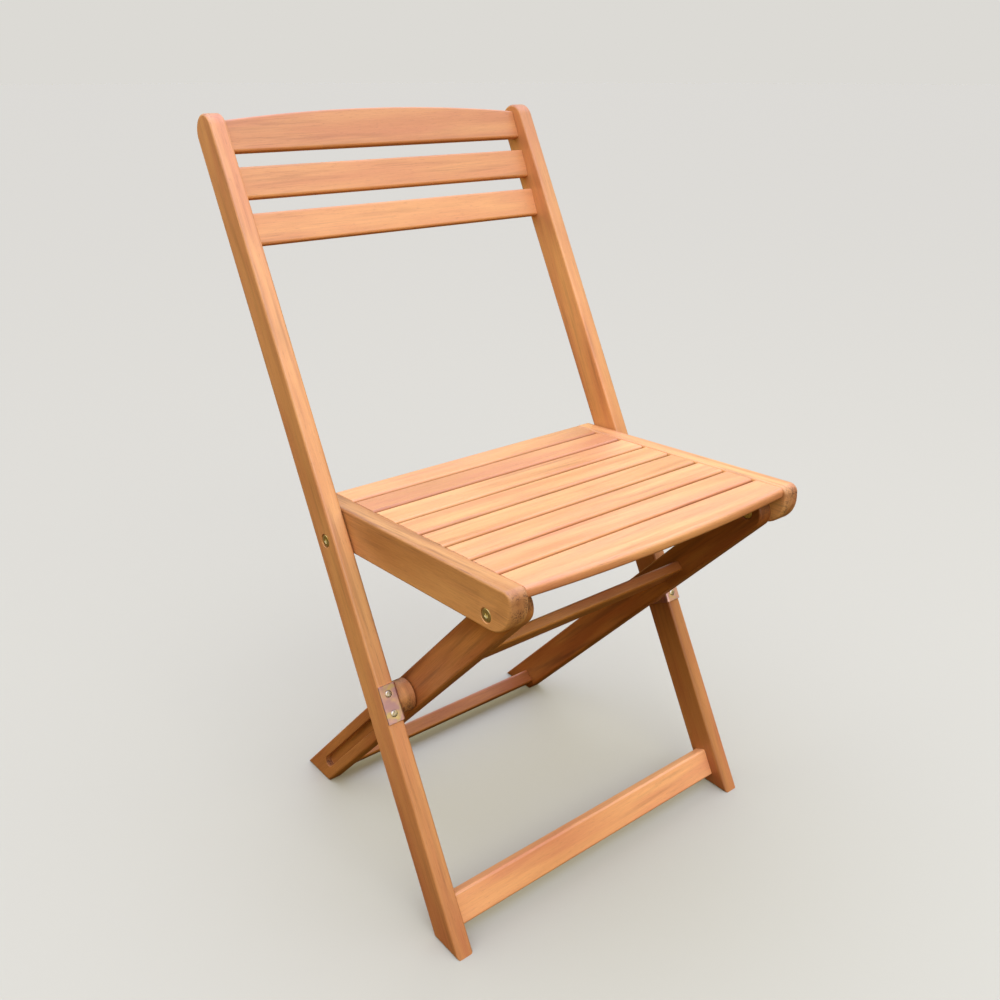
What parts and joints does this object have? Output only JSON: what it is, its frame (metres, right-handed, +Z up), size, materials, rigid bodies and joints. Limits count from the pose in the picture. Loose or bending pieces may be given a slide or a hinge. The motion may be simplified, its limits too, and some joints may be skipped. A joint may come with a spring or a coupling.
{
  "type": "folding garden chair",
  "caption": "Slatted wooden garden chair that folds flat: the seat tips up against a leaning back frame and the rear leg frame follows on grooved guides.",
  "frame": {"origin": "centre of the bounding box on the floor, with the chair unfolded on its four soles", "axes": "+Z up, +X across the chair to the right as seen from the front, -Y the way the sitter faces"},
  "size_m": [0.46, 0.5342, 0.8457],
  "materials": {
    "frame_wood": "oiled hardwood, satin",
    "back_wood": "oiled hardwood, satin",
    "seat_wood": "oiled hardwood, satin",
    "leg_wood": "oiled hardwood, satin",
    "brass_hardware": "yellow passivated, slightly dull",
    "zinc_hardware": "iridescent yellow zinc"
  },
  "bodies": {
    "back_frame": {"left_stile": "frame_wood", "right_stile": "frame_wood", "back_slat_bottom": "back_wood", "back_slat_middle": "back_wood", "back_slat_top": "back_wood", "front_stretcher": "frame_wood", "left_bracket": "zinc_hardware", "right_bracket": "zinc_hardware", "left_screw_upper": "zinc_hardware", "left_screw_lower": "zinc_hardware", "right_screw_upper": "zinc_hardware", "right_screw_lower": "zinc_hardware", "left_spacer": "leg_wood", "right_spacer": "leg_wood", "left_guide_pin": "zinc_hardware", "right_guide_pin": "zinc_hardware", "left_seat_bolt": "brass_hardware", "right_seat_bolt": "brass_hardware", "left_seat_nut": "brass_hardware", "right_seat_nut": "brass_hardware", "left_seat_washer": "zinc_hardware", "right_seat_washer": "zinc_hardware"},
    "seat": {"left_rail": "seat_wood", "right_rail": "seat_wood", "seat_slat_1": "seat_wood", "seat_slat_2": "seat_wood", "seat_slat_3": "seat_wood", "seat_slat_4": "seat_wood", "seat_slat_5": "seat_wood", "seat_slat_6": "seat_wood", "seat_slat_7": "seat_wood", "seat_slat_8": "seat_wood", "left_leg_bolt": "brass_hardware", "right_leg_bolt": "brass_hardware", "left_leg_nut": "brass_hardware", "right_leg_nut": "brass_hardware", "left_leg_washer": "zinc_hardware", "right_leg_washer": "zinc_hardware"},
    "rear_legs": {"left_rear_leg": "leg_wood", "right_rear_leg": "leg_wood", "upper_rear_stretcher": "leg_wood", "lower_rear_stretcher": "leg_wood"}
  },
  "joints": [
    {"name": "seat_fold", "type": "hinge", "parent": "back_frame", "child": "seat", "pos_m": [0, 0.02985, 0.40814], "axis": [-1, 0, 0], "range_deg": [0, 114.6]},
    {"name": "leg_fold", "type": "hinge", "parent": "seat", "child": "rear_legs", "pos_m": [0, -0.2258, 0.42153], "axis": [1, 0, 0], "range_deg": [0, 43.93]}
  ],
  "couplings": [
    {"joint": "leg_fold", "follows": "seat_fold", "ratio": 0.38292}
  ]
}
